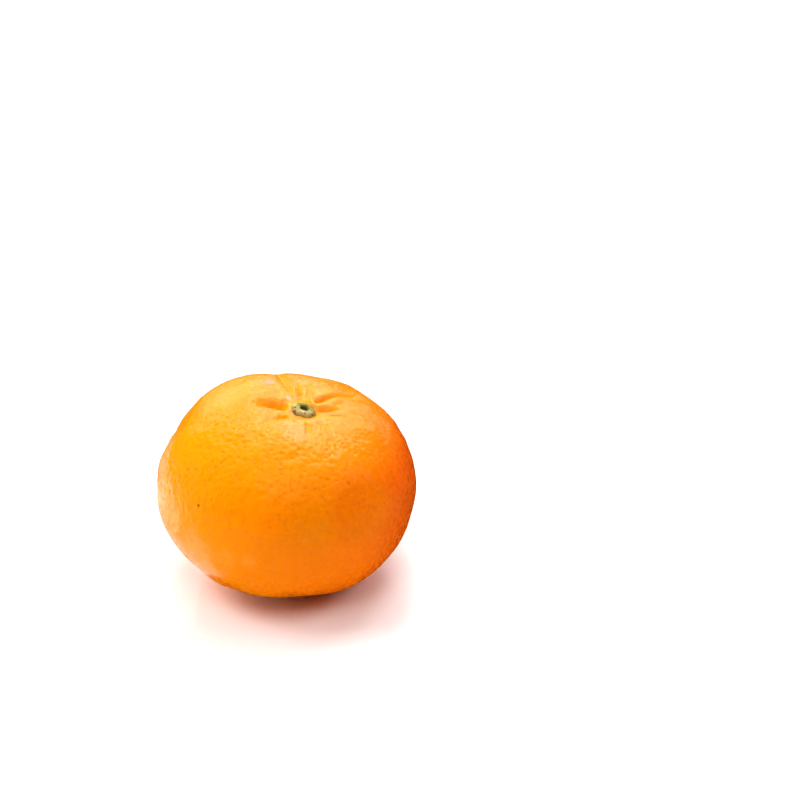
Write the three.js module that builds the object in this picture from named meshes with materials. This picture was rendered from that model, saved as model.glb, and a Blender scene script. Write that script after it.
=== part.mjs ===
// A sweet orange of the flattened, loose-skinned kind, as picked: the whole fruit, and the green
// calyx that stays in the basin at its stem end after the stalk has snapped out of it.
// Millimetres, +Z up. The origin is on the surface the fruit rests on, under its middle. The
// fruit leans a little, as fruit do, so that its stem end faces up, forward and to the right.
import * as THREE from "three";
import { mergeVertices } from "three/addons/utils/BufferGeometryUtils.js";

// Fruit body, before it leans. Its stem axis is +Z and its centre is at the origin.
const HALF_WIDTH = 36;
const HALF_HEIGHT = 27.9;
const BOXINESS = 2.14; // 2 would be a plain spheroid
const SEGMENTS = 100;
const RINGS = 46;
const RING_CROWDING = 0.5; // share by which the rings close up towards the stem end

// How the fruit stands: the lean of the stem axis, and the lean of the body within it.
const STEM_LEAN_RIGHT = THREE.MathUtils.degToRad(13);
const STEM_LEAN_FORWARD = THREE.MathUtils.degToRad(3);
const BODY_LEAN_BACK = THREE.MathUtils.degToRad(6);
const REST_FLAT_DEPTH = 0.7; // how far the rind is pressed flat where it rests

// Basin at the stem end, and the level seat in its floor that the calyx sits on.
const BASIN_DEPTH = 3.0;
const BASIN_RADIUS = 8.5;
const SEAT_RADIUS = 3.5;
const SEAT_EDGE = 5.4;

// Furrows that run out of the basin between the segments. Azimuths are in degrees from +X,
// counterclockwise seen from above, at BEND_MIDDLE from the stem axis; a furrow then turns by its
// bend, in degrees a millimetre. It opens at start and has faded out at reach.
const BEND_MIDDLE = 10;
const FURROWS = [
  { azimuth: 8, bend: 0, depth: 0.9, width: 1.0, start: 3.2, reach: 14 },
  { azimuth: 41, bend: -0.5, depth: 1.6, width: 1.3, start: 3.2, reach: 24 },
  { azimuth: 82, bend: 0, depth: 0.35, width: 1.1, start: 3.4, reach: 14 },
  { azimuth: 102, bend: 0, depth: 0.9, width: 0.9, start: 4.5, reach: 15 },
  { azimuth: 115, bend: -0.3, depth: 1.3, width: 1.4, start: 7, reach: 34 },
  { azimuth: 150, bend: 0, depth: 0.4, width: 1.3, start: 6, reach: 15 },
  { azimuth: 182, bend: 1.6, depth: 2.5, width: 1.9, start: 2.4, reach: 17 },
  { azimuth: 228, bend: -0.4, depth: 0.95, width: 1.3, start: 3.4, reach: 17 },
  { azimuth: 252, bend: 0, depth: 0.4, width: 1.0, start: 5, reach: 12 },
  { azimuth: 283, bend: 0, depth: 1.1, width: 0.85, start: 6.5, reach: 19 },
  { azimuth: 310, bend: -0.5, depth: 0.55, width: 1.2, start: 7, reach: 18 },
  { azimuth: 349, bend: 0.6, depth: 0.5, width: 1.2, start: 5, reach: 17 },
];
const FURROW_OPENING = 2.4; // length over which a furrow deepens from its start
const FURROW_FADE_START = 0.4; // share of its reach after which it grows shallower

// Broad swellings and flats of the body. Polar angles are from the stem axis, and all are degrees.
const SWELLINGS = [
  { azimuth: 140, polar: 50, spread: 22, height: 1.3 }, // the high shoulder at the back left
  { azimuth: 164, polar: 70, spread: 20, height: -1.4 },
  { azimuth: 210, polar: 118, spread: 30, height: -0.8 },
  { azimuth: 56, polar: 56, spread: 30, height: 1.6 },
  { azimuth: 18, polar: 74, spread: 24, height: 0.9 },
  { azimuth: 300, polar: 95, spread: 40, height: 0.4 },
  { azimuth: 75, polar: 110, spread: 30, height: -0.5 },
  { azimuth: 0, polar: 180, spread: 45, height: -0.9 }, // flatter towards the blossom end
];

// Low lumps of the loose rind: waves along the three axes, each bent by its neighbour.
const LUMPS = [
  { wave: 26, height: 0.2, shift: 1.7 },
  { wave: 11, height: 0.12, shift: 4.1 },
  { wave: 6.2, height: 0.07, shift: 2.6 },
];
const LUMP_BEND = 1.3; // how far a wave is bent, in radians of its own turn
const LUMP_BEND_RATE = 0.57; // waves of the bend to one wave of the lumps

// Blossom end: a shallow dimple opposite the stem.
const BLOSSOM_DEPTH = 0.7;
const BLOSSOM_RADIUS = 3.2;

// Calyx: a thick disc of five blunt sepals round the socket that the stalk has left.
const CALYX_RADIUS = 2.95;
const CALYX_HEIGHT = 1.1;
const CALYX_EDGE_HEIGHT = 0.35;
const SEPAL_DEGREES = [20, 84, 142, 221, 296];
const SEPAL_LENGTHS = [0.35, 0.3, 1.15, 0.4, 0.35];
const SEPAL_HALF_ANGLE = THREE.MathUtils.degToRad(24);
const SEPAL_THINNING = 0.35; // how much a sepal thins for each time its length is drawn out
const SOCKET_RADIUS = 1.35;
const SOCKET_DEPTH = 0.85;
const SOCKET_EDGE = 0.3;
const CALYX_SEGMENTS = 60;
const CALYX_GAP = 0.15; // clearance between the calyx and its seat

const { smoothstep } = THREE.MathUtils;

function angleBetween(a, b) {
  return Math.atan2(Math.sin(a - b), Math.cos(a - b));
}

// The direction of the body's own short axis, seen from the stem axis.
const bodyAxis = new THREE.Vector3(-Math.sin(BODY_LEAN_BACK), 0, Math.cos(BODY_LEAN_BACK));

function bodyRadius(direction) {
  const along = Math.abs(direction.dot(bodyAxis));
  const across = Math.sqrt(Math.max(0, 1 - along * along));
  const sum = (across / HALF_WIDTH) ** BOXINESS + (along / HALF_HEIGHT) ** BOXINESS;
  return sum ** (-1 / BOXINESS);
}

const swellings = SWELLINGS.map(({ azimuth, polar, spread, height }) => {
  const [turn, down] = [azimuth, polar].map(THREE.MathUtils.degToRad);
  const across = Math.sin(down);
  const middle = new THREE.Vector3(across * Math.cos(turn), across * Math.sin(turn), Math.cos(down));
  return { middle, spread: THREE.MathUtils.degToRad(spread), height };
});

function swellingHeight(direction) {
  return swellings.reduce(
    (sum, { middle, spread, height }) =>
      sum + height * Math.exp(-((direction.angleTo(middle) / spread) ** 2)),
    0,
  );
}

function lumpHeight(point) {
  let height = 0;
  for (const { wave, height: full, shift } of LUMPS) {
    const rate = (2 * Math.PI) / wave;
    const bent = (along, beside, turn) =>
      Math.sin(rate * along + turn + LUMP_BEND * Math.sin(rate * LUMP_BEND_RATE * beside));
    const x = bent(point.x, point.y, shift);
    const y = bent(point.y, point.z, 2 * shift);
    const z = bent(point.z, point.x, 3 * shift);
    height += (full * (x * y + y * z + z * x)) / 1.5;
  }
  return height;
}

function furrowDepth(distance, azimuth) {
  let depth = 0;
  for (const furrow of FURROWS) {
    const degrees = furrow.azimuth + furrow.bend * (distance - BEND_MIDDLE);
    const turn = angleBetween(azimuth, THREE.MathUtils.degToRad(degrees));
    if (Math.abs(turn) > Math.PI / 2) continue;
    const along = distance * Math.cos(turn);
    const aside = distance * Math.sin(turn);
    const opening = smoothstep(along, furrow.start, furrow.start + FURROW_OPENING);
    const closing = 1 - smoothstep(along, FURROW_FADE_START * furrow.reach, furrow.reach);
    depth += furrow.depth * opening * closing * Math.exp(-((aside / furrow.width) ** 2));
  }
  return depth;
}

const seatHeight = bodyRadius(new THREE.Vector3(0, 0, 1)) - BASIN_DEPTH;

// Where the rind's surface lies in a direction from the fruit's centre.
function rindPoint(direction) {
  const point = direction.clone().multiplyScalar(bodyRadius(direction) + swellingHeight(direction));
  point.addScaledVector(direction, lumpHeight(point));
  const distance = Math.hypot(point.x, point.y);
  const azimuth = Math.atan2(point.y, point.x);
  if (point.z > 0) {
    point.z -= BASIN_DEPTH * Math.exp(-((distance / BASIN_RADIUS) ** 2));
    point.z -= furrowDepth(distance, azimuth);
    const offSeat = smoothstep(distance, SEAT_RADIUS, SEAT_EDGE);
    point.z = THREE.MathUtils.lerp(seatHeight, point.z, offSeat);
  } else {
    point.z += BLOSSOM_DEPTH * Math.exp(-((distance / BLOSSOM_RADIUS) ** 2));
  }
  return point;
}

// A unit sphere with its poles on Z and its rings crowded towards +Z, moved onto the rind.
function rindGeometry() {
  const geometry = new THREE.SphereGeometry(1, SEGMENTS, RINGS);
  const position = geometry.getAttribute("position");
  const uv = geometry.getAttribute("uv");
  const direction = new THREE.Vector3();
  for (let i = 0; i < position.count; i++) {
    const down = 1 - uv.getY(i); // 0 at the stem end, 1 at the blossom end
    const polar = Math.PI * down - RING_CROWDING * Math.sin(Math.PI * down);
    const azimuth = Math.atan2(-position.getZ(i), position.getX(i));
    const across = Math.sin(polar);
    direction.set(across * Math.cos(azimuth), across * Math.sin(azimuth), Math.cos(polar));
    position.setXYZ(i, ...rindPoint(direction));
  }
  geometry.deleteAttribute("normal");
  geometry.deleteAttribute("uv");
  return mergeVertices(geometry, 1e-3);
}

function sepalReach(azimuth) {
  let reach = 0;
  SEPAL_DEGREES.forEach((degrees, i) => {
    const turn = angleBetween(azimuth, THREE.MathUtils.degToRad(degrees));
    reach += SEPAL_LENGTHS[i] * Math.exp(-((turn / SEPAL_HALF_ANGLE) ** 2));
  });
  return CALYX_RADIUS + reach;
}

// The calyx is a lathe profile, from its underside round its edge and over its rim into the
// socket, whose outer part is then drawn out along each sepal.
function calyxGeometry() {
  const profile = [
    [0, 0],
    [0.55 * CALYX_RADIUS, 0],
    [0.94 * CALYX_RADIUS, 0],
    [CALYX_RADIUS, 0.3 * CALYX_EDGE_HEIGHT],
    [CALYX_RADIUS, CALYX_EDGE_HEIGHT],
    [0.93 * CALYX_RADIUS, 0.66 * CALYX_HEIGHT],
    [0.82 * CALYX_RADIUS, 0.93 * CALYX_HEIGHT],
    [0.68 * CALYX_RADIUS, CALYX_HEIGHT],
    [SOCKET_RADIUS + SOCKET_EDGE, 0.94 * CALYX_HEIGHT],
    [SOCKET_RADIUS, 0.7 * CALYX_HEIGHT],
    [0.88 * SOCKET_RADIUS, CALYX_HEIGHT - SOCKET_DEPTH],
    [0.45 * SOCKET_RADIUS, CALYX_HEIGHT - 0.86 * SOCKET_DEPTH],
    [0, CALYX_HEIGHT - 0.8 * SOCKET_DEPTH],
  ].map(([radius, height]) => new THREE.Vector2(radius, height));
  const geometry = new THREE.LatheGeometry(profile, CALYX_SEGMENTS);
  geometry.rotateX(Math.PI / 2);
  const position = geometry.getAttribute("position");
  for (let i = 0; i < position.count; i++) {
    const radius = Math.hypot(position.getX(i), position.getY(i));
    const azimuth = Math.atan2(position.getY(i), position.getX(i));
    const outer = smoothstep(radius, SOCKET_RADIUS + SOCKET_EDGE, CALYX_RADIUS);
    const stretch = 1 + outer * (sepalReach(azimuth) / CALYX_RADIUS - 1);
    const thinning = 1 - SEPAL_THINNING * outer * (stretch - 1);
    const z = position.getZ(i) * thinning;
    position.setXYZ(i, position.getX(i) * stretch, position.getY(i) * stretch, z);
  }
  geometry.deleteAttribute("normal");
  geometry.deleteAttribute("uv");
  return mergeVertices(geometry, 1e-3);
}

// Turns the stem axis to its lean, presses the rind flat where it rests, and centres the fruit
// over the origin. Returns the move, so that the calyx can be set in its place.
function standOnSurface(geometry, lean) {
  geometry.applyQuaternion(lean);
  geometry.computeBoundingBox();
  const { min, max } = geometry.boundingBox;
  const floor = min.z + REST_FLAT_DEPTH;
  const position = geometry.getAttribute("position");
  for (let i = 0; i < position.count; i++) position.setZ(i, Math.max(position.getZ(i), floor));
  const move = new THREE.Vector3(-(min.x + max.x) / 2, -(min.y + max.y) / 2, -floor);
  geometry.translate(...move);
  return move;
}

const stemAxis = new THREE.Vector3(Math.tan(STEM_LEAN_RIGHT), -Math.tan(STEM_LEAN_FORWARD), 1);
const lean = new THREE.Quaternion().setFromUnitVectors(
  new THREE.Vector3(0, 0, 1),
  stemAxis.normalize(),
);

const rindMaterial = new THREE.MeshStandardMaterial({ color: 0xf78a08, roughness: 0.42 });
const calyxMaterial = new THREE.MeshStandardMaterial({ color: 0x8f8f4e, roughness: 0.8 });

const rindShape = rindGeometry();
const move = standOnSurface(rindShape, lean);
const rind = new THREE.Mesh(rindShape, rindMaterial);
rind.name = "fruit";

const calyx = new THREE.Mesh(calyxGeometry(), calyxMaterial);
calyx.name = "calyx";
calyx.quaternion.copy(lean);
calyx.position.copy(stemAxis).multiplyScalar(seatHeight + CALYX_GAP).add(move);

const orange = new THREE.Group();
orange.add(rind, calyx);
export default orange;
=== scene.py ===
"""A loose-skinned sweet orange: its pitted rind, the dry calyx in the basin, and a white table."""

import math

import bpy
import numpy as np
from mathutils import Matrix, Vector, noise
from mathutils.bvhtree import BVHTree


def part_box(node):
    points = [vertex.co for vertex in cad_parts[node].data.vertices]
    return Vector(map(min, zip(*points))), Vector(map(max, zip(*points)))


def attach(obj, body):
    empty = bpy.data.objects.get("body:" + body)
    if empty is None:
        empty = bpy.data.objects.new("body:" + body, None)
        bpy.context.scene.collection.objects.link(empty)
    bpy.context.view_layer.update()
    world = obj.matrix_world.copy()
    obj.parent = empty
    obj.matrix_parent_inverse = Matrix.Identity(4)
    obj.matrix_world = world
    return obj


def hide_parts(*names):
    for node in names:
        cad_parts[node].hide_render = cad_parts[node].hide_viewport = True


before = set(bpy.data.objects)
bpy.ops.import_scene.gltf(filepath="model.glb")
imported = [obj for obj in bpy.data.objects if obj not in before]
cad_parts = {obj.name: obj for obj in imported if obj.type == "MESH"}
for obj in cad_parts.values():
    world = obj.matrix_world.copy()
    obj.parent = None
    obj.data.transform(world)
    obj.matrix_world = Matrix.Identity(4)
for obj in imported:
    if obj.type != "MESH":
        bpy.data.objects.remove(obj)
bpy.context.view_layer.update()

MM = 0.001

# Camera, at the photograph's viewing angle. Places are in metres.
CAMERA_PLACE = (0.0316, -0.3848, 0.2587)
CAMERA_DOWN = math.radians(28)
CAMERA_LENS = 72.0

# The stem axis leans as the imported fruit's does, and the stem frame has its origin in the seat.
STEM_LEAN_RIGHT = math.radians(13)
STEM_LEAN_FORWARD = math.radians(3)
CALYX_THICKNESS = 1.1

# Rind mesh: a cube rounded by this many subdivisions, with its faces crowded towards the stem.
RIND_LEVELS = 7
START_RADIUS = 50 * MM
STEM_CROWDING = 0.3

# Oil glands, in millimetres. They stray from an uneven grid by up to GLAND_WANDER, in waves.
GLAND_SPACING = 1.45
GLAND_RANDOMNESS = 0.85
GLAND_WANDER = 0.9
GLAND_WAVE = 3.1
DIMPLE_DEPTH = 0.14
PEBBLE_HEIGHT = 0.13
PEBBLE_SIZE = 2.1
ROLL_HEIGHT = 0.16
ROLL_SIZE = 7.0

# Where the dimple over a gland, the colour in it and its pore begin and where they are full, as
# shares of the spacing from the gland's middle.
DIMPLE_REACH = (0.75, 0.05)
PIT_REACH = (0.5, 0.1)
PORE_REACH = (0.24, 0.06)

# How strong the relief is down the sides, towards the viewer and on the far side, and between
# which heights and depths it changes, in millimetres.
SIDE_RELIEF = 0.22
NEAR_RELIEF = 1.25
FAR_RELIEF = 0.75
RELIEF_HEIGHTS = (16, 41)
RELIEF_DEPTHS = (-24, 10)

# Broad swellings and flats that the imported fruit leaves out: place, height and width in
# millimetres.
SWELLS = [
    dict(place=(-24, 16, 47), height=0.55, width=8),
    dict(place=(-31, 6, 42), height=-0.45, width=9),
    dict(place=(-30, -16, 20), height=0.5, width=10),
    dict(place=(4, -25, 6), height=-1.0, width=11),
]

# Creases of the rind round the stem: azimuth in degrees, bend in degrees a millimetre from
# CREASE_MIDDLE, and start, reach, depth and half-width in millimetres. The first two fill furrows
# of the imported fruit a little, and the next ones sharpen its furrows.
CREASE_MIDDLE = 10
CREASES = [
    dict(azimuth=41, bend=-0.5, start=2.5, reach=18, depth=-1.75, width=2.8),
    dict(azimuth=182, bend=1.6, start=2.5, reach=14, depth=-0.25, width=2.2),
    dict(azimuth=8, bend=0, start=3.4, reach=12, depth=0.5, width=0.45),
    dict(azimuth=41, bend=-0.5, start=3.6, reach=16, depth=0.6, width=0.55),
    dict(azimuth=82, bend=0, start=4.0, reach=14, depth=0.3, width=0.5),
    dict(azimuth=102, bend=0, start=4.2, reach=14, depth=0.5, width=0.4),
    dict(azimuth=115, bend=-0.3, start=9, reach=22, depth=0.25, width=0.7),
    dict(azimuth=182, bend=1.6, start=3.0, reach=15, depth=0.5, width=0.9),
    dict(azimuth=228, bend=-0.4, start=5.0, reach=13, depth=0.2, width=0.5),
    dict(azimuth=279, bend=0, start=7.5, reach=18, depth=0.32, width=0.32),
    dict(azimuth=313, bend=-1.4, start=8, reach=16, depth=0.22, width=0.5),
    dict(azimuth=352, bend=1, start=7, reach=15, depth=0.4, width=0.4),
    dict(azimuth=343, bend=3, start=8, reach=13.5, depth=0.25, width=0.35),
    dict(azimuth=350, bend=4, start=13, reach=17.5, depth=0.35, width=0.4),
    dict(azimuth=15, bend=1.5, start=13, reach=19, depth=0.35, width=0.4),
    dict(azimuth=30, bend=1.2, start=16, reach=26, depth=0.35, width=0.5),
    dict(azimuth=262, bend=2, start=5, reach=10.5, depth=0.35, width=0.4),
    dict(azimuth=313, bend=-0.8, start=14, reach=19, depth=0.3, width=0.4),
    dict(azimuth=228, bend=-3.5, start=11, reach=15, depth=0.4, width=0.4),
    dict(azimuth=222, bend=-3, start=7, reach=10.5, depth=0.35, width=0.35),
    dict(azimuth=119, bend=-2, start=12, reach=16.5, depth=0.35, width=0.5),
    dict(azimuth=80, bend=0, start=10, reach=14, depth=0.25, width=0.35),
    dict(azimuth=166, bend=1.5, start=9, reach=15.5, depth=0.3, width=0.5),
    dict(azimuth=205, bend=-1, start=8, reach=14, depth=0.25, width=0.5),
    dict(azimuth=292, bend=1, start=10, reach=20, depth=0.22, width=0.6),
    dict(azimuth=327, bend=-1, start=9, reach=16, depth=0.22, width=0.5),
    dict(azimuth=60, bend=1, start=7, reach=15, depth=0.22, width=0.5),
    dict(azimuth=135, bend=1, start=8, reach=17, depth=0.22, width=0.6),
]
CREASE_OPENING = 1.6
CREASE_FADE_START = 0.45

# Heights in the stem frame, in millimetres, that tell the top of the rind from its underside.
CREASED_ABOVE = -15
TOP_ABOVE = -10
UNDERSIDE_BELOW = -30

# How far the rind sinks under the calyx, and how far from the stem axis that begins and is full.
SEAT_DEPTH = 0.9
SEAT_EDGE = (2.6, 1.7)

# Folds are found as hollows, and a deeper orange of painted shade goes in them: rounds of
# smoothing, the depth in millimetres that counts as a whole hollow, and how far from the stem axis
# they are clear of the calyx.
HOLLOW_ROUNDS = 120
HOLLOW_DEPTH = 0.35
HOLLOW_START = (3.0, 4.8)

# Blossom end: short puckers round the scar, with the distances from the axis where they begin and
# end, in millimetres.
BLOSSOM_PUCKERS = 9
PUCKER_DEPTH = 0.25
PUCKER_START = (0.6, 2)
PUCKER_END = (5.5, 2.5)

# Colours of the rind. It reddens from left to right, partly in its own colour and partly as
# painted light: yellower where strong light falls from the left, and redder with painted orange
# bounce from a neighbouring fruit on the right. Its right edge is darker still with painted shade
# and bounce from that fruit. It is yellower on top, where it faces up: painted light from above.
# The basin is pale, partly in its own colour and partly as a painted sheen, and the folds are a
# deeper orange of painted shade. Hues are web codes, and an amount is the most of its hue that
# is mixed in. Places are in millimetres, and distances are from the stem axis.
RIND_HUES = dict(
    left="fb9300",
    right="f26a00",
    # Painted shade and orange bounce from a neighbouring fruit, on the right edge.
    painted_right_shade="df4800",
    # Painted light on the top, where it faces up.
    top="fd9a04",
    slow="f88000",
    mottle="ee7400",
    # Pale basin round the stem: partly its own colour, partly a painted sheen.
    basin="ffb248",
    basin_sheen_drift="ff9c60",
    # Painted shade in the folds.
    fold="f49400",
    fleck="7e4208",
    scar="5a3a1c",
)
RIND_AMOUNTS = dict(top=0.7, slow=0.4, mottle=0.2, basin=0.42, pit=0.7, fleck=0.6)
LEFT_TO_RIGHT = (-34, 34)
# Where the painted shade of the right edge begins and is full, from left to right in millimetres.
RIGHT_SHADE_EDGE = (18, 36)
# Heights over which the painted light on the top comes in, in millimetres.
TOP_LIGHT_HEIGHTS = (36, 50)
SLOW_SIZE = 22
BASIN_EDGE = (19, 4)
SCAR_EDGE = (4, 0)
# Hollowness over which the painted shade of the folds comes in.
FOLD_SHADE_HOLLOWS = (-0.05, 0.45)
RIND_FLECKS = {"Spacing": 6.5, "Size": 0.3, "Sparseness": 0.9}

# What the colour is multiplied by in the pits: painted shade, darker where the sheen doesn't reach
# into them.
PIT_SHADE_TINT = (0.92, 0.9, 0.2, 1.0)

# Gloss of the rind, with its roughness from smooth to mottled, and the light that soaks into it.
RIND_ROUGHNESS = (0.24, 0.3)
RIND_IOR = 1.38
GLOSS_TINT = "fff2bc"
SOAKING = 0.15
SOAKING_RADIUS = (1.0, 0.35, 0.08)
SOAKING_DEPTH = 1.5
PORE_DEPTH = 0.06

# Calyx, in millimetres in the stem frame.
CALYX_SIDES = 120
CALYX_PROFILE = [
    (2.3, -0.55),
    (2.7, -0.2),
    (2.95, -0.02),
    (3.08, 0.12),
    (3.04, 0.3),
    (2.86, 0.5),
    (2.74, 0.72),
    (2.62, 0.95),
    (2.4, 1.1),
    (2.1, 1.14),
    (1.84, 1.05),
    (1.7, 0.84),
    (1.62, 0.5),
    (1.55, 0.2),
    (1.4, 0.0),
    (1.0, -0.08),
    (0.5, -0.04),
]
SEPALS = [
    dict(azimuth=348, length=0.6, width=26),
    dict(azimuth=84, length=0.35, width=20),
    dict(azimuth=146, length=0.6, width=22),
    dict(azimuth=221, length=0.35, width=24),
    dict(azimuth=300, length=0.5, width=22),
]
CALYX_RIDGES = 23
RIDGE_HEIGHT = 0.05
LUMP_SIZE = 0.9
LUMP_HEIGHT = 0.1
CRUMB_SIZE = 0.35
CRUMB_OUT = 0.04
CRUMB_UP = 0.07
RIM_RADIUS = 2.2
RIM_WIDTH = 0.55
RIM_WAVE = 0.2
BACK_RISE = 0.15
HOLE_STRETCH = (0.66, 0.8)
HOLE_SHIFT = (0.22, 0.3)
HOLE_UNEVENNESS = 0.2
CALYX_SHIFT = 0.35

# Radii and heights between which the parts of the calyx begin and are full, in millimetres.
HOLE_EDGE = (2.5, 1.6)
SEPAL_EDGE = (2.3, 3.08)
WALL_HEIGHTS = (0.1, 0.6)
STRETCH_START = (0.4, 1.4)
SKIRT_EDGE = (2.9, 3.5)

CALYX_HUES = dict(
    rim_front="b9a768",
    rim_back="8f9236",
    tissue="6e6a2c",
    drift="9a8a50",
    margin="988838",
    mottle="6e6024",
    socket="68741c",
    deep="5e3e08",
    fleck="4a3a12",
)
CALYX_AMOUNTS = dict(margin=0.8, mottle=0.5, fleck=0.75)
CALYX_FLECKS = {"Spacing": 0.8, "Size": 0.17, "Sparseness": 0.55}
CALYX_ROUGHNESS = 0.7
CALYX_SPECULAR = 0.3
CALYX_GRAIN = 0.22
CALYX_GRAIN_DEPTH = 0.05

# Soft patches of colour and small marks, in millimetres in the stem frame. Of the rind's soft
# patches, the first two are a painted sheen, at the top left and in front of the calyx, the third
# is a paler patch on the left, and the last two are a painted band of shade across the front.
# Those of the rind are given by distance from the stem axis, azimuth and rough height, and are
# moved onto it. Those of the calyx are given by place. MARK_EDGE is where a mark begins and is
# full, and its edge strays by MARK_UNEVENNESS, all as shares of its radius.
MARK_EDGE = (1.15, 0.55)
MARK_UNEVENNESS = 0.6
MARK_GRAIN = 0.7
DRIFTS_AND_PAINTED_LIGHT = [
    # Painted sheen.
    dict(distance=23, azimuth=160, height=-2.5, radius=10.5, hue="fb9e36"),
    dict(distance=12, azimuth=266, height=1.0, radius=4.5, hue="f89a4a"),
    dict(distance=34, azimuth=232, height=-32.5, radius=8.0, hue="fb9440"),
    # Painted shade: a deeper band across the front.
    dict(distance=31.5, azimuth=284, height=-10, radius=11.0, hue="ee7e00"),
    dict(distance=32.0, azimuth=308, height=-10.5, radius=11.0, hue="ea7000"),
]
RIND_MARKS = [
    dict(distance=34.8, azimuth=230, height=-18.3, radius=0.45, hue="8a4a08"),
    dict(distance=32.5, azimuth=214, height=-13.4, radius=0.4, hue="b06c10"),
    dict(distance=35.8, azimuth=249, height=-28.6, radius=3.2, hue="f98e24"),
    dict(distance=36.0, azimuth=259, height=-26.8, radius=2.2, hue="f98e28"),
    dict(distance=6.0, azimuth=134, height=0.5, radius=0.85, hue="ecb48c"),
    dict(distance=6.8, azimuth=105, height=0.2, radius=0.9, hue="f6a070"),
    dict(distance=14.4, azimuth=133, height=0.8, radius=1.7, hue="f2946c"),
    dict(distance=15.9, azimuth=139, height=0.6, radius=0.8, hue="d88c44"),
    dict(distance=14.4, azimuth=118, height=0.6, radius=0.9, hue="c8a010"),
    dict(distance=12.0, azimuth=83, height=0.0, radius=0.7, hue="c09a10"),
    dict(distance=17.5, azimuth=50, height=-1.5, radius=0.6, hue="b8860c"),
]
CALYX_MARKS = [
    # Painted shade of a small cavity on the left of the rim, as a near-black spot.
    dict(place=(-1.95, -0.5, 1.0), radius=0.5, hue="1e2a04"),
    dict(place=(-1.35, -0.4, 1.0), radius=0.3, hue="b8ac78"),
    dict(place=(0.25, -1.65, 1.1), radius=0.75, hue="ccb284"),
    dict(place=(0.75, -2.35, 0.95), radius=0.28, hue="5e4a20"),
    dict(place=(1.8, 0.4, 1.05), radius=0.5, hue="8c7a5c"),
    dict(place=(2.5, -0.25, 0.9), radius=0.3, hue="4a4210"),
    dict(place=(2.5, -1.1, 0.8), radius=0.4, hue="9aa438"),
    dict(place=(2.95, -1.5, 0.3), radius=0.45, hue="6a3408"),
    dict(place=(-2.1, -2.1, 0.4), radius=0.8, hue="6a5238"),
    dict(place=(-2.3, 1.2, 0.9), radius=0.9, hue="bcb060"),
    dict(place=(0.05, 2.2, 0.8), radius=0.3, hue="a8b04a"),
    dict(place=(-0.9, 1.7, 0.6), radius=0.25, hue="a4ac48"),
]

# Lights, all LIGHT_DISTANCE metres away: azimuth from straight behind the fruit towards the
# right, height above the table, and brightness against a white surface. The panes are a window
# that the rind mirrors, and the fills are soft light that it doesn't.
LIGHT_DISTANCE = 0.95
PANE_SIZE = (0.3, 0.28)
PANES = {
    "pane_low": dict(azimuth=0, rise=15, brightness=1.2),
    "pane_middle": dict(azimuth=0, rise=30, brightness=2.3),
    "pane_high": dict(azimuth=0, rise=60, brightness=7.8),
    "pane_top": dict(azimuth=0, rise=75, brightness=1.8),
    "pane_left_low": dict(azimuth=-30, rise=20, brightness=1.2),
    "pane_left": dict(azimuth=-30, rise=40, brightness=2.2),
    "pane_left_high": dict(azimuth=-45, rise=62, brightness=1.9),
    "pane_right_low": dict(azimuth=30, rise=20, brightness=1.8),
    "pane_right": dict(azimuth=30, rise=40, brightness=3.4),
    "pane_right_high": dict(azimuth=45, rise=62, brightness=6.2),
}
FILL_SIZE = (0.45, 0.4)
FILLS = {
    "fill_behind": dict(azimuth=0, rise=45, brightness=2.0),
    "fill_top": dict(azimuth=0, rise=88, brightness=3.0),
    "fill_left": dict(azimuth=-90, rise=50, brightness=9.0),
    "fill_left_low": dict(azimuth=-90, rise=20, brightness=3.8),
    "fill_right": dict(azimuth=90, rise=40, brightness=3.7),
    "fill_right_front": dict(azimuth=130, rise=40, brightness=0.4),
    "fill_front": dict(azimuth=180, rise=60, brightness=5.4),
}

# The table is white. The light that it throws back onto the fruit is warm, and it has a weak gloss
# in which the fruit's own colour shows close to where it stands. Far from the fruit it glows as
# the room does, so that no horizon shows.
TABLE_RADIUS = 6
TABLE_GLOW = (120, 900)
TABLE_WHITE = (0.86, 0.86, 0.86, 1.0)
TABLE_BOUNCE = (1.0, 0.93, 0.35, 1.0)
TABLE_GLOSS = (0.1, 0.1, 0.1, 1.0)
TABLE_GLOSS_ROUGHNESS = 0.3

# Bright cards lying to the left and behind, for the rind's left edge to mirror, in metres.
CARDS = {
    "card_front": dict(place=(-0.04, -0.017, 0.001), size=(0.03, 0.024), brightness=1.3),
    "card_near": dict(place=(-0.05, 0.02, 0.001), size=(0.03, 0.05), brightness=1.2),
    "card_inner": dict(place=(-0.075, 0.0165, 0.001), size=(0.02, 0.057), brightness=2.6),
    "card_middle": dict(place=(-0.11, 0.0185, 0.001), size=(0.05, 0.053), brightness=3.2),
    "card_back": dict(place=(-0.105, 0.0825, 0.001), size=(0.06, 0.075), brightness=1.4),
    "card_far": dict(place=(-0.2175, 0.0775, 0.001), size=(0.165, 0.145), brightness=1.8),
}
CARD_COLOUR = (1.0, 0.85, 0.8, 1.0)


def colour(code):
    """The linear colour of a web code such as f78a08."""
    parts = [int(code[i : i + 2], 16) / 255 for i in (0, 2, 4)]
    linear = [p / 12.92 if p <= 0.04045 else ((p + 0.055) / 1.055) ** 2.4 for p in parts]
    return (*linear, 1.0)


def pick(piece):
    """Makes a piece the only one that operators act on."""
    bpy.ops.object.select_all(action="DESELECT")
    piece.select_set(True)
    bpy.context.view_layer.objects.active = piece


def add_modifier(piece, name, kind, **settings):
    modifier = piece.modifiers.new(name, kind)
    for setting, value in settings.items():
        setattr(modifier, setting, value)
    pick(piece)
    bpy.ops.object.modifier_apply(modifier=modifier.name)


def places_of(piece):
    """Where the vertices of a mesh are, in metres, one row each."""
    flat = np.empty(3 * len(piece.data.vertices), np.float32)
    piece.data.vertices.foreach_get("co", flat)
    return flat.reshape(-1, 3).astype(float)


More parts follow.
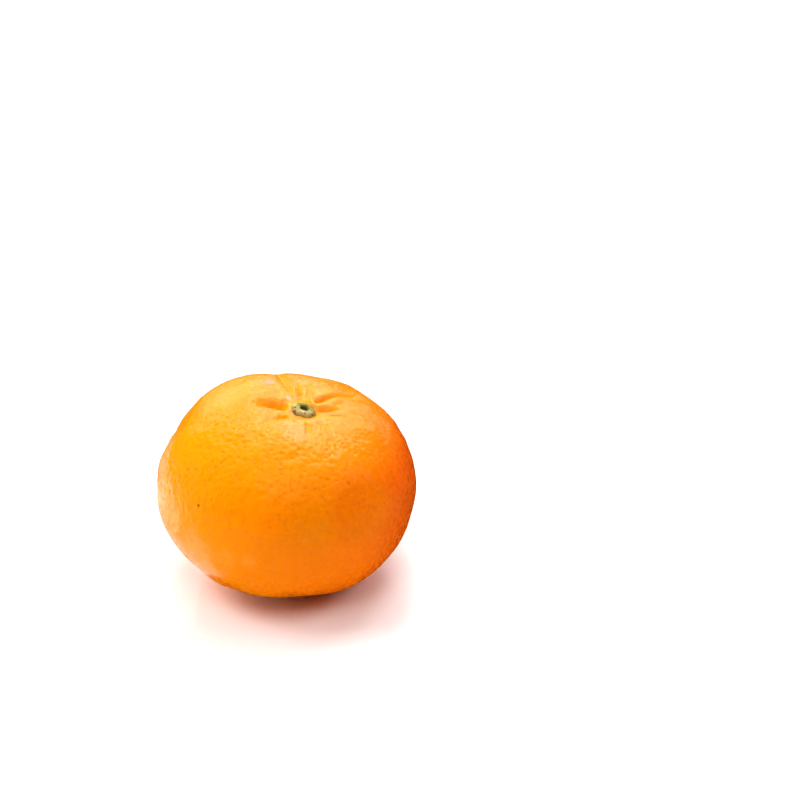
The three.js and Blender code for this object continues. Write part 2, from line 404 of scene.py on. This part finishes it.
def normals_of(piece):
    flat = np.empty(3 * len(piece.data.vertices), np.float32)
    piece.data.vertices.foreach_get("normal", flat)
    return flat.reshape(-1, 3)


def move_vertices(piece, places):
    piece.data.vertices.foreach_set("co", places.astype(np.float32).ravel())
    piece.data.update()


def store(piece, name, values):
    """Keeps one number a vertex on a mesh, for its material to read."""
    attribute = piece.data.attributes.new(name, "FLOAT", "POINT")
    attribute.data.foreach_set("value", values.astype(np.float32))


def ramp(value, low, high):
    """0 up to low, 1 from high, and smooth between them. It may run downwards."""
    share = np.clip((value - low) / (high - low), 0, 1)
    return share * share * (3 - 2 * share)


def stem_frame():
    """The seat of the calyx, and the turn that takes the stem axis upright."""
    axis = Vector((math.tan(STEM_LEAN_RIGHT), -math.tan(STEM_LEAN_FORWARD), 1)).normalized()
    low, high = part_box("calyx")
    seat = (low + high) / 2 - axis * CALYX_THICKNESS * MM / 2
    upright = axis.rotation_difference(Vector((0, 0, 1))).to_matrix()
    return np.array(seat), np.array(upright)


SEAT, UPRIGHT = stem_frame()


def to_stem(places):
    """Places in millimetres in the stem frame."""
    return (places - SEAT) @ UPRIGHT.T / MM


def from_stem(places):
    return places * MM @ UPRIGHT + SEAT


def wander(places, size, seed):
    """Smooth noise from -1 to 1 with lumps of about that size, one number for each place."""
    shift = Vector((seed, 2.7 * seed, -1.9 * seed))
    return np.array([noise.noise(Vector(p) / size + shift) for p in places])


# Nodes


def node(tree, kind, inputs=None, **settings):
    """Adds a node. An input is given a value, or a socket to link from."""
    made = tree.nodes.new(kind)
    for setting, value in settings.items():
        setattr(made, setting, value)
    for name, value in (inputs or {}).items():
        if isinstance(value, bpy.types.NodeSocket):
            tree.links.new(value, made.inputs[name])
        else:
            made.inputs[name].default_value = value
    return made


def work_out(tree, operation, *values):
    return node(tree, "ShaderNodeMath", dict(enumerate(values)), operation=operation).outputs[0]


def spread(tree, value, low, high, to_low=0.0, to_high=1.0):
    """Maps a value smoothly from one range to another."""
    inputs = {
        "Value": value,
        "From Min": low,
        "From Max": high,
        "To Min": to_low,
        "To Max": to_high,
    }
    return node(tree, "ShaderNodeMapRange", inputs, interpolation_type="SMOOTHSTEP").outputs[0]


def blend(tree, share, first, second, way="MIX"):
    """Mixes two colours by a share from 0 to 1."""
    factor, a, b, result = 0, 6, 7, 2
    inputs = {factor: share, a: first, b: second}
    made = node(tree, "ShaderNodeMix", inputs, data_type="RGBA", blend_type=way)
    return made.outputs[result]


def weaken(tree, share, amount):
    return work_out(tree, "MULTIPLY", share, amount)


def vectors(tree, operation, *values):
    return node(tree, "ShaderNodeVectorMath", dict(enumerate(values)), operation=operation).outputs


def scaled(tree, vector, scale):
    inputs = {0: vector, "Scale": scale}
    return node(tree, "ShaderNodeVectorMath", inputs, operation="SCALE").outputs[0]


def in_millimetres(tree, place):
    return scaled(tree, place, 1 / MM)


def grain(tree, place, size, detail=2.0, roughness=0.5):
    """Noise from 0 to 1 whose lumps are about size millimetres across."""
    inputs = {"Vector": place, "Scale": 1 / size, "Detail": detail, "Roughness": roughness}
    return node(tree, "ShaderNodeTexNoise", inputs).outputs["Fac"]


def gland_field(tree, place):
    """Distance from the nearest oil gland, as a share of their spacing."""
    inputs = {"Vector": place, "Scale": 1 / GLAND_WAVE, "Detail": 1.0}
    wave = node(tree, "ShaderNodeTexNoise", inputs).outputs["Color"]
    centred = vectors(tree, "SUBTRACT", wave, (0.5, 0.5, 0.5))[0]
    strayed = vectors(tree, "ADD", place, scaled(tree, centred, GLAND_WANDER))[0]
    inputs = {"Vector": strayed, "Scale": 1 / GLAND_SPACING, "Randomness": GLAND_RANDOMNESS}
    return node(tree, "ShaderNodeTexVoronoi", inputs).outputs["Distance"]


def coarseness(tree, place):
    """How strong the rind's relief is at a place in millimetres."""
    parts = node(tree, "ShaderNodeSeparateXYZ", {0: place}).outputs
    upper = spread(tree, parts["Z"], *RELIEF_HEIGHTS, SIDE_RELIEF, 1.0)
    nearer = spread(tree, parts["Y"], *RELIEF_DEPTHS, NEAR_RELIEF, FAR_RELIEF)
    return work_out(tree, "MULTIPLY", upper, nearer)


def make_group(kind, name, inputs, outputs):
    """A node group and its two ends. Sockets are given as name and type."""
    tree = bpy.data.node_groups.new(name, kind)
    for socket, socket_type in inputs.items():
        tree.interface.new_socket(socket, in_out="INPUT", socket_type="NodeSocket" + socket_type)
    for socket, socket_type in outputs.items():
        tree.interface.new_socket(socket, in_out="OUTPUT", socket_type="NodeSocket" + socket_type)
    return tree, node(tree, "NodeGroupInput"), node(tree, "NodeGroupOutput")


def place_group(tree, group, inputs):
    return node(tree, "ShaderNodeGroup", inputs, node_tree=group)


def spot_group():
    """A round mark with a soft, uneven edge: 1 in its middle and 0 outside it."""
    inputs = {"Place": "Vector", "Middle": "Vector", "Radius": "Float", "Unevenness": "Float"}
    tree, start, end = make_group("ShaderNodeTree", "Spot", inputs, {"Mask": "Float"})
    apart = vectors(tree, "DISTANCE", start.outputs["Place"], start.outputs["Middle"])["Value"]
    rough = work_out(tree, "SUBTRACT", grain(tree, start.outputs["Place"], MARK_GRAIN), 0.5)
    uneven = work_out(tree, "MULTIPLY", rough, start.outputs["Unevenness"])
    away = work_out(tree, "ADD", apart, uneven)
    share = work_out(tree, "DIVIDE", away, start.outputs["Radius"])
    tree.links.new(spread(tree, share, *MARK_EDGE), end.inputs["Mask"])
    return tree


def tissue_group():
    """Slow drift of colour and fine mottling, as all plant skin has."""
    inputs = {"Place": "Vector", "Drift Size": "Float", "Mottle Size": "Float"}
    outputs = {"Drift": "Float", "Mottle": "Float"}
    tree, start, end = make_group("ShaderNodeTree", "Plant tissue", inputs, outputs)
    for name in outputs:
        scale = work_out(tree, "DIVIDE", 1.0, start.outputs[name + " Size"])
        texture = {"Vector": start.outputs["Place"], "Scale": scale, "Detail": 3.0}
        mottling = node(tree, "ShaderNodeTexNoise", texture).outputs["Fac"]
        tree.links.new(spread(tree, mottling, 0.33, 0.67), end.inputs[name])
    return tree


def fleck_group():
    """Tiny flecks scattered sparsely. Sparseness is the share of places that have none."""
    inputs = {"Place": "Vector", "Spacing": "Float", "Size": "Float", "Sparseness": "Float"}
    tree, start, end = make_group("ShaderNodeTree", "Flecks", inputs, {"Mask": "Float"})
    scale = work_out(tree, "DIVIDE", 1.0, start.outputs["Spacing"])
    cells = node(tree, "ShaderNodeTexVoronoi", {"Vector": start.outputs["Place"], "Scale": scale})
    chance = node(tree, "ShaderNodeSeparateColor", {0: cells.outputs["Color"]}).outputs[0]
    chosen = work_out(tree, "GREATER_THAN", chance, start.outputs["Sparseness"])
    away = work_out(tree, "MULTIPLY", cells.outputs["Distance"], start.outputs["Spacing"])
    share = work_out(tree, "DIVIDE", away, start.outputs["Size"])
    mask = work_out(tree, "MULTIPLY", spread(tree, share, 1.0, 0.5), chosen)
    tree.links.new(mask, end.inputs["Mask"])
    return tree


TISSUE = tissue_group()
SPOT = spot_group()
FLECKS = fleck_group()


def new_material(name):
    material = bpy.data.materials.new(name)
    material.use_nodes = True
    tree = material.node_tree
    shader = tree.nodes["Principled BSDF"]
    place = node(tree, "ShaderNodeTexCoord").outputs["Object"]
    return material, tree, shader, in_millimetres(tree, place)


def set_inputs(shader, values):
    for name, value in values.items():
        shader.inputs[name].default_value = value


def stored(tree, name):
    return node(tree, "ShaderNodeAttribute", attribute_name=name).outputs["Fac"]


def add_bump(tree, shader, height, depth):
    """Relief too fine for the mesh. depth is in millimetres."""
    bump = node(tree, "ShaderNodeBump", {"Height": height, "Distance": depth * MM})
    tree.links.new(bump.outputs["Normal"], shader.inputs["Normal"])


def add_mark(tree, place, base, middle, radius, hue):
    """Paints one mark over a colour. middle is in metres."""
    spot = {
        "Place": place,
        "Middle": tuple(np.array(middle) / MM),
        "Radius": radius,
        "Unevenness": MARK_UNEVENNESS * radius,
    }
    return blend(tree, place_group(tree, SPOT, spot).outputs["Mask"], base, colour(hue))


# Rind


def rounded_body():
    """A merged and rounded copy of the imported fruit, for the rind to be fitted to."""
    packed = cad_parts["fruit"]
    body = bpy.data.objects.new("rounded_body", packed.data.copy())
    bpy.context.scene.collection.objects.link(body)
    pick(body)
    bpy.ops.object.mode_set(mode="EDIT")
    bpy.ops.mesh.select_all(action="SELECT")
    bpy.ops.mesh.remove_doubles(threshold=0.002 * MM)
    bpy.ops.mesh.tris_convert_to_quads()
    bpy.ops.object.mode_set(mode="OBJECT")
    add_modifier(body, "Rounding", "SUBSURF", levels=2, render_levels=2)
    return body


def crowd_towards_stem(ball, centre):
    """Slides the vertices of a ball towards the stem, where the rind has its finest folds."""
    out = places_of(ball) - centre
    radius = np.linalg.norm(out, axis=1, keepdims=True)
    axis = UPRIGHT[2]
    along = out @ axis / radius[:, 0]
    across = out - np.outer(along * radius[:, 0], axis)
    across /= np.maximum(np.linalg.norm(across, axis=1, keepdims=True), 1e-12)
    polar = np.arccos(np.clip(along, -1, 1))
    polar -= STEM_CROWDING * np.sin(polar)
    turned = np.outer(np.cos(polar), axis) + np.sin(polar)[:, None] * across
    move_vertices(ball, centre + radius * turned)


def crease_depth(places):
    """How deep the creases are at places in the stem frame, in millimetres."""
    distance = np.hypot(places[:, 0], places[:, 1])
    azimuth = np.arctan2(places[:, 1], places[:, 0])
    depth = np.zeros(len(places))
    for crease in CREASES:
        turn = np.radians(crease["azimuth"] + crease["bend"] * (distance - CREASE_MIDDLE))
        off = np.angle(np.exp(1j * (azimuth - turn)))
        along = distance * np.cos(off)
        aside = distance * np.sin(off)
        opening = ramp(along, crease["start"], crease["start"] + CREASE_OPENING)
        closing = ramp(along, crease["reach"], CREASE_FADE_START * crease["reach"])
        valley = np.exp(-((aside / crease["width"]) ** 2))
        depth += crease["depth"] * opening * closing * valley * (np.abs(off) < math.pi / 2)
    return depth * (places[:, 2] > CREASED_ABOVE)


def pucker_depth(places):
    """How deep the puckers round the blossom scar are, in millimetres."""
    distance = np.hypot(places[:, 0], places[:, 1])
    azimuth = np.arctan2(places[:, 1], places[:, 0])
    folds = 0.5 + 0.5 * np.cos(BLOSSOM_PUCKERS * azimuth + 1.3 * np.sin(2 * azimuth))
    around = ramp(distance, *PUCKER_START) * ramp(distance, *PUCKER_END)
    return PUCKER_DEPTH * folds * around * (places[:, 2] < UNDERSIDE_BELOW)


def hollowness(piece, rounds, depth):
    """How far each vertex lies below its smoothed surroundings, as a share of depth."""
    edges = np.empty(2 * len(piece.data.edges), np.int32)
    piece.data.edges.foreach_get("vertices", edges)
    first, second = edges.reshape(-1, 2).T
    start = places_of(piece)
    count = len(start)
    ends = np.concatenate([first, second])
    others = np.concatenate([second, first])
    neighbours = np.bincount(ends, minlength=count)[:, None]
    smooth = start.copy()
    for _ in range(rounds):
        sums = [np.bincount(ends, smooth[others, axis], count) for axis in range(3)]
        smooth = np.stack(sums, 1) / neighbours
    below = np.sum((smooth - start) * normals_of(piece), axis=1)
    return np.clip(below / (depth * MM), -1, 1)


def relief_of_glands():
    """Geometry nodes that press a dimple over each oil gland and raise the rind between them."""
    geometry = {"Geometry": "Geometry"}
    tree, start, end = make_group("GeometryNodeTree", "Oil gland relief", geometry, geometry)
    place = in_millimetres(tree, node(tree, "GeometryNodeInputPosition").outputs[0])
    away = gland_field(tree, place)
    dimple = spread(tree, away, *DIMPLE_REACH, 0.0, -DIMPLE_DEPTH)
    pebble = spread(tree, grain(tree, place, PEBBLE_SIZE, 1.0), 0.25, 0.75, 0.0, PEBBLE_HEIGHT)
    relief = work_out(tree, "ADD", dimple, pebble)
    relief = work_out(tree, "MULTIPLY", coarseness(tree, place), relief)
    roll = spread(tree, grain(tree, place, ROLL_SIZE, 1.0), 0.2, 0.8, 0.0, ROLL_HEIGHT)
    height = work_out(tree, "ADD", relief, roll)
    height = work_out(tree, "MULTIPLY", height, MM)
    offset = scaled(tree, node(tree, "GeometryNodeInputNormal").outputs[0], height)
    inputs = {"Geometry": start.outputs[0], "Offset": offset}
    moved = node(tree, "GeometryNodeSetPosition", inputs)
    tree.links.new(moved.outputs[0], end.inputs[0])
    return tree


def swell(piece):
    """Pushes the broad swellings out and the flats in, square to the surface."""
    places = places_of(piece)
    push = np.zeros(len(places))
    for lump in SWELLS:
        apart = np.linalg.norm(places / MM - np.array(lump["place"]), axis=1)
        push += lump["height"] * np.exp(-((apart / lump["width"]) ** 2))
    move_vertices(piece, places + push[:, None] * MM * normals_of(piece))


def make_rind():
    """A cube rounded to a ball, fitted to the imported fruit, and given its folds and pits."""
    low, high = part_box("fruit")
    centre = (low + high) / 2
    body = rounded_body()
    bpy.ops.object.select_all(action="DESELECT")
    bpy.ops.mesh.primitive_cube_add(size=2 * START_RADIUS, location=centre)
    rind = bpy.context.object
    rind.name = "rind"
    levels = RIND_LEVELS
    add_modifier(rind, "Subdivision", "SUBSURF", levels=levels, render_levels=levels)
    add_modifier(rind, "To ball", "CAST", cast_type="SPHERE", factor=1.0, size=START_RADIUS)
    bpy.ops.object.transform_apply(location=True, rotation=True, scale=True)
    crowd_towards_stem(rind, np.array(centre))
    projection = dict(wrap_method="PROJECT", use_negative_direction=True, target=body)
    add_modifier(rind, "Fit to body", "SHRINKWRAP", **projection)
    bpy.data.objects.remove(body)
    swell(rind)

    placed = to_stem(places_of(rind))
    crease = crease_depth(placed)
    off_axis = np.hypot(placed[:, 0] - CALYX_SHIFT, placed[:, 1])
    under_calyx = ramp(off_axis, *SEAT_EDGE) * (placed[:, 2] > TOP_ABOVE)
    placed[:, 2] += pucker_depth(placed) - crease - SEAT_DEPTH * under_calyx
    move_vertices(rind, from_stem(placed))
    hollow = hollowness(rind, HOLLOW_ROUNDS, HOLLOW_DEPTH)
    add_modifier(rind, "Oil glands", "NODES", node_group=relief_of_glands())
    pressed = places_of(rind)
    pressed[:, 2] = np.maximum(pressed[:, 2], 0)
    move_vertices(rind, pressed)
    pick(rind)
    bpy.ops.object.shade_smooth()

    distance = np.hypot(placed[:, 0], placed[:, 1])
    on_top = placed[:, 2] > TOP_ABOVE
    store(rind, "hollow", np.where(on_top, hollow * ramp(off_axis, *HOLLOW_START), hollow))
    store(rind, "basin", ramp(distance, *BASIN_EDGE) * on_top)
    store(rind, "blossom", ramp(distance, *SCAR_EDGE) * (placed[:, 2] < UNDERSIDE_BELOW))
    return rind


def on_rind(rind, mark):
    """The nearest place on the rind to where a mark is said to be, in metres."""
    turn = math.radians(mark["azimuth"])
    across = mark["distance"]
    about = np.array((across * math.cos(turn), across * math.sin(turn), mark["height"]))
    return rind.closest_point_on_mesh(from_stem(about))[1]


def rind_material(rind):
    material, tree, shader, place = new_material("Orange rind")
    hue = {part: colour(code) for part, code in RIND_HUES.items()}
    amount = RIND_AMOUNTS
    tissue = place_group(tree, TISSUE, {"Place": place, "Drift Size": 3.2, "Mottle Size": 1.6})
    tissue = tissue.outputs
    away = gland_field(tree, place)
    coarse = coarseness(tree, place)
    pit = work_out(tree, "MULTIPLY", spread(tree, away, *PIT_REACH), coarse)

    parts = node(tree, "ShaderNodeSeparateXYZ", {0: place}).outputs
    # Redder to the right: partly its own colour, partly painted light, yellower under the left
    # light and redder with bounce from a neighbouring fruit.
    base = blend(tree, spread(tree, parts["X"], *LEFT_TO_RIGHT), hue["left"], hue["right"])
    # Painted shade and bounce of a neighbouring fruit on the right edge.
    base = blend(tree, spread(tree, parts["X"], *RIGHT_SHADE_EDGE), base, hue["painted_right_shade"])
    # Painted light from above: yellower on top.
    upper = spread(tree, parts["Z"], *TOP_LIGHT_HEIGHTS)
    base = blend(tree, weaken(tree, upper, amount["top"]), base, hue["top"])
    slow = grain(tree, place, SLOW_SIZE)
    base = blend(tree, weaken(tree, slow, amount["slow"]), base, hue["slow"])
    base = blend(tree, weaken(tree, tissue["Mottle"], amount["mottle"]), base, hue["mottle"])
    # Pale basin: partly its own colour, partly painted sheen.
    pale_and_sheen = blend(tree, tissue["Drift"], hue["basin"], hue["basin_sheen_drift"])
    base = blend(tree, weaken(tree, stored(tree, "basin"), amount["basin"]), base, pale_and_sheen)
    # Painted sheen, painted shade and a paler patch of the rind.
    for drift in DRIFTS_AND_PAINTED_LIGHT:
        base = add_mark(tree, place, base, on_rind(rind, drift), drift["radius"], drift["hue"])
    # Painted shade in the pits.
    base = blend(tree, weaken(tree, pit, amount["pit"]), base, PIT_SHADE_TINT, "MULTIPLY")
    # Painted shade in the folds.
    base = blend(tree, spread(tree, stored(tree, "hollow"), *FOLD_SHADE_HOLLOWS), base, hue["fold"])
    fleck = place_group(tree, FLECKS, {"Place": place, **RIND_FLECKS}).outputs["Mask"]
    base = blend(tree, weaken(tree, fleck, amount["fleck"]), base, hue["fleck"])
    for mark in RIND_MARKS:
        base = add_mark(tree, place, base, on_rind(rind, mark), mark["radius"], mark["hue"])
    base = blend(tree, spread(tree, stored(tree, "blossom"), 0.6, 0.85), base, hue["scar"])
    tree.links.new(base, shader.inputs["Base Color"])

    roughness = spread(tree, tissue["Mottle"], 0.0, 1.0, *RIND_ROUGHNESS)
    tree.links.new(roughness, shader.inputs["Roughness"])
    finish = {
        "IOR": RIND_IOR,
        "Specular Tint": colour(GLOSS_TINT),
        "Subsurface Weight": SOAKING,
        "Subsurface Radius": SOAKING_RADIUS,
        "Subsurface Scale": SOAKING_DEPTH * MM,
    }
    set_inputs(shader, finish)
    pore = work_out(tree, "MULTIPLY", spread(tree, away, *PORE_REACH), coarse)
    pore = work_out(tree, "MULTIPLY", pore, coarse)
    skin = weaken(tree, grain(tree, place, 0.35, 2.0), 0.25)
    add_bump(tree, shader, work_out(tree, "SUBTRACT", skin, pore), PORE_DEPTH)
    return material


# Calyx


def calyx_start():
    """A disc raised ring by ring into the calyx's plain form, in the stem frame."""
    first_radius, first_height = CALYX_PROFILE[0]
    bpy.ops.object.select_all(action="DESELECT")
    bpy.ops.mesh.primitive_circle_add(
        vertices=CALYX_SIDES,
        radius=first_radius * MM,
        fill_type="TRIFAN",
        location=(0, 0, first_height * MM),
    )
    calyx = bpy.context.object
    calyx.name = "calyx_button"
    bpy.ops.object.transform_apply(location=True, rotation=True, scale=True)
    bpy.ops.object.mode_set(mode="EDIT")
    bpy.ops.mesh.select_all(action="SELECT")
    for below, above in zip(CALYX_PROFILE, CALYX_PROFILE[1:]):
        rise = (above[1] - below[1]) * MM
        growth = above[0] / below[0]
        bpy.ops.mesh.extrude_region_move(TRANSFORM_OT_translate={"value": (0, 0, rise)})
        bpy.ops.transform.resize(value=(growth, growth, 1), center_override=(0, 0, 0))
    bpy.ops.mesh.select_all(action="SELECT")
    bpy.ops.mesh.normals_make_consistent(inside=False)
    bpy.ops.object.mode_set(mode="OBJECT")
    add_modifier(calyx, "Rounding", "SUBSURF", levels=1, render_levels=1)
    return calyx


def sepal_length(azimuth):
    length = np.zeros(len(azimuth))
    for sepal in SEPALS:
        off = np.degrees(np.angle(np.exp(1j * (azimuth - math.radians(sepal["azimuth"])))))
        length += sepal["length"] * np.exp(-((off / sepal["width"]) ** 2))
    return length


def rind_heights(rind, places):
    """How high the rind stands in the stem frame under or over each place, in millimetres."""
    tree = BVHTree.FromPolygons(
        to_stem(places_of(rind)).tolist(),
        [tuple(face.vertices) for face in rind.data.polygons],
    )
    down = Vector((0, 0, -1))
    above = 20
    return np.array([tree.ray_cast(Vector((x, y, above)), down)[0].z for x, y, _ in places])


def make_calyx(rind):
    """The calyx button with its ragged sepals and socket, set on the rind."""
    calyx = calyx_start()
    shape = places_of(calyx) / MM
    radius = np.hypot(shape[:, 0], shape[:, 1])
    azimuth = np.arctan2(shape[:, 1], shape[:, 0])
    around = np.stack([np.cos(azimuth), np.sin(azimuth), 0 * azimuth], 1)
    inner = ramp(radius, *HOLE_EDGE)
    outer = ramp(radius, *SEPAL_EDGE)
    ring = np.exp(-(((radius - RIM_RADIUS) / RIM_WIDTH) ** 2))
    wall = ramp(shape[:, 2], *WALL_HEIGHTS)

    ridges = np.sin(CALYX_RIDGES * azimuth + 2.2 * wander(around * 2, 1.0, seed=3.1))
    lumps = LUMP_HEIGHT * wander(shape, LUMP_SIZE, seed=5.3)
    crumbs = wander(shape, CRUMB_SIZE, seed=9.7)
    stretch = outer * sepal_length(azimuth) + RIDGE_HEIGHT * ridges * wall
    stretch = (stretch + lumps + CRUMB_OUT * crumbs) * ramp(radius, *STRETCH_START)
    shape[:, 0] += stretch * np.cos(azimuth)
    shape[:, 1] += stretch * np.sin(azimuth)
    wave = RIM_WAVE * wander(around * 1.4, 1.0, seed=7.7) * ring
    shape[:, 2] += wall * (wave + lumps + CRUMB_UP * crumbs)
    ragged = 1 + HOLE_UNEVENNESS * wander(around * 1.7, 1.0, seed=4.4)
    shape[:, 0] += inner * ((HOLE_STRETCH[0] * ragged - 1) * shape[:, 0] + HOLE_SHIFT[0])
    shape[:, 1] += inner * ((HOLE_STRETCH[1] * ragged - 1) * shape[:, 1] + HOLE_SHIFT[1])
    shape[:, 2] += BACK_RISE * ring * wall * ramp(np.sin(azimuth), -0.2, 1)

    grown = np.hypot(shape[:, 0], shape[:, 1])
    shape[:, 0] += CALYX_SHIFT
    lift = rind_heights(rind, shape)
    shape[:, 2] += np.maximum(lift, 0) * ramp(grown, *SKIRT_EDGE)
    move_vertices(calyx, from_stem(shape))
    pick(calyx)
    bpy.ops.object.shade_smooth()

    # Where each colour of the calyx lies, by radius and height in millimetres.
    store(calyx, "socket", ramp(radius, 1.75, 1.45))
    store(calyx, "deep", ramp(shape[:, 2], 0.65, 0.25) * ramp(radius, 1.75, 1.6))
    store(calyx, "margin", ramp(grown, 2.75, 3.1))
    store(calyx, "rim", ramp(radius, 3.0, 2.7) * ramp(shape[:, 2], 0.25, 0.6))
    store(calyx, "back", ramp(np.sin(azimuth), -0.3, 0.5))
    return calyx


def calyx_material():
    material, tree, shader, place = new_material("Dry calyx")
    hue = {part: colour(code) for part, code in CALYX_HUES.items()}
    amount = CALYX_AMOUNTS
    tissue = place_group(tree, TISSUE, {"Place": place, "Drift Size": 1.3, "Mottle Size": 0.42})
    tissue = tissue.outputs
    base = blend(tree, tissue["Drift"], hue["tissue"], hue["drift"])
    rim = blend(tree, stored(tree, "back"), hue["rim_front"], hue["rim_back"])
    base = blend(tree, stored(tree, "rim"), base, rim)
    margin = weaken(tree, stored(tree, "margin"), amount["margin"])
    base = blend(tree, margin, base, hue["margin"])
    base = blend(tree, weaken(tree, tissue["Mottle"], amount["mottle"]), base, hue["mottle"])
    base = blend(tree, stored(tree, "socket"), base, hue["socket"])
    base = blend(tree, stored(tree, "deep"), base, hue["deep"])
    for mark in CALYX_MARKS:
        middle = from_stem(np.array(mark["place"]))
        base = add_mark(tree, place, base, middle, mark["radius"], mark["hue"])
    fleck = place_group(tree, FLECKS, {"Place": place, **CALYX_FLECKS}).outputs["Mask"]
    base = blend(tree, weaken(tree, fleck, amount["fleck"]), base, hue["fleck"])
    tree.links.new(base, shader.inputs["Base Color"])
    set_inputs(shader, {"Roughness": CALYX_ROUGHNESS, "Specular IOR Level": CALYX_SPECULAR})
    add_bump(tree, shader, grain(tree, place, CALYX_GRAIN, 3.0), CALYX_GRAIN_DEPTH)
    return material


# Table, room and camera


def make_table():
    """A white table that runs on into the white room."""
    bpy.ops.object.select_all(action="DESELECT")
    bpy.ops.mesh.primitive_circle_add(vertices=128, radius=TABLE_RADIUS, fill_type="NGON")
    table = bpy.context.object
    table.name = "table"
    material, tree, shader, place = new_material("White table")
    away = vectors(tree, "LENGTH", place)["Value"]
    seen = node(tree, "ShaderNodeLightPath").outputs["Is Camera Ray"]
    white = blend(tree, seen, TABLE_BOUNCE, TABLE_WHITE)
    matt = node(tree, "ShaderNodeBsdfDiffuse", {"Color": white})
    sheen = {"Color": TABLE_GLOSS, "Roughness": TABLE_GLOSS_ROUGHNESS}
    gloss = node(tree, "ShaderNodeBsdfAnisotropic", sheen)
    glow = node(tree, "ShaderNodeEmission", {"Strength": spread(tree, away, *TABLE_GLOW)})
    surface = node(tree, "ShaderNodeAddShader", {0: matt.outputs[0], 1: gloss.outputs[0]})
    both = node(tree, "ShaderNodeAddShader", {0: surface.outputs[0], 1: glow.outputs[0]})
    tree.links.new(both.outputs[0], tree.nodes["Material Output"].inputs["Surface"])
    tree.nodes.remove(shader)
    table.data.materials.append(material)
    table.visible_glossy = False


def make_card(name, place, size, brightness):
    """A bright card that only reflections see. The table itself gives the rind none."""
    bpy.ops.object.select_all(action="DESELECT")
    bpy.ops.mesh.primitive_plane_add(size=1, location=place)
    bpy.ops.transform.resize(value=(*size, 1))
    card = bpy.context.object
    card.name = name
    bpy.ops.object.transform_apply(location=True, rotation=True, scale=True)
    card.visible_camera = False
    card.visible_diffuse = False
    card.visible_shadow = False
    material, _, shader, _ = new_material("Card")
    bright = {
        "Base Color": (0, 0, 0, 1),
        "Specular IOR Level": 0,
        "Emission Color": CARD_COLOUR,
        "Emission Strength": brightness,
    }
    set_inputs(shader, bright)
    card.data.materials.append(material)


def make_room():
    """A room that looks white and gives no light of its own."""
    world = bpy.data.worlds.new("Room")
    world.use_nodes = True
    bpy.context.scene.world = world
    tree = world.node_tree
    background = tree.nodes["Background"]
    seen = node(tree, "ShaderNodeLightPath").outputs["Is Camera Ray"]
    background.inputs["Color"].default_value = (1, 1, 1, 1)
    tree.links.new(seen, background.inputs["Strength"])


def make_softbox(name, azimuth, rise, brightness, size, mirrored):
    light = bpy.data.lights.new(name, "AREA")
    light.shape = "RECTANGLE"
    light.size, light.size_y = size
    light.energy = brightness * math.pi * light.size * light.size_y
    turn = math.radians(azimuth)
    up = math.radians(rise)
    towards = Vector((math.sin(turn) * math.cos(up), math.cos(turn) * math.cos(up), math.sin(up)))
    softbox = bpy.data.objects.new(name, light)
    softbox.visible_glossy = mirrored
    softbox.location = LIGHT_DISTANCE * towards
    softbox.rotation_euler = towards.to_track_quat("Z", "Y").to_euler()
    bpy.context.scene.collection.objects.link(softbox)


def make_camera():
    lens = bpy.data.cameras.new("camera")
    lens.lens = CAMERA_LENS
    lens.sensor_width = 36.0
    lens.clip_start = 0.01
    lens.clip_end = 50
    camera = bpy.data.objects.new("camera", lens)
    camera.location = CAMERA_PLACE
    camera.rotation_euler = (math.pi / 2 - CAMERA_DOWN, 0, 0)
    bpy.context.scene.collection.objects.link(camera)
    bpy.context.scene.camera = camera


make_camera()
make_room()
for pane_name, pane in PANES.items():
    make_softbox(pane_name, size=PANE_SIZE, mirrored=True, **pane)
for fill_name, fill in FILLS.items():
    make_softbox(fill_name, size=FILL_SIZE, mirrored=False, **fill)
make_table()
for card_name, card in CARDS.items():
    make_card(card_name, **card)

rind = make_rind()
rind.data.materials.append(rind_material(rind))
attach(rind, "root")
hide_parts("fruit")

calyx = make_calyx(rind)
calyx.data.materials.append(calyx_material())
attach(calyx, "root")
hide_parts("calyx")

bpy.context.scene.view_settings.view_transform = "Standard"
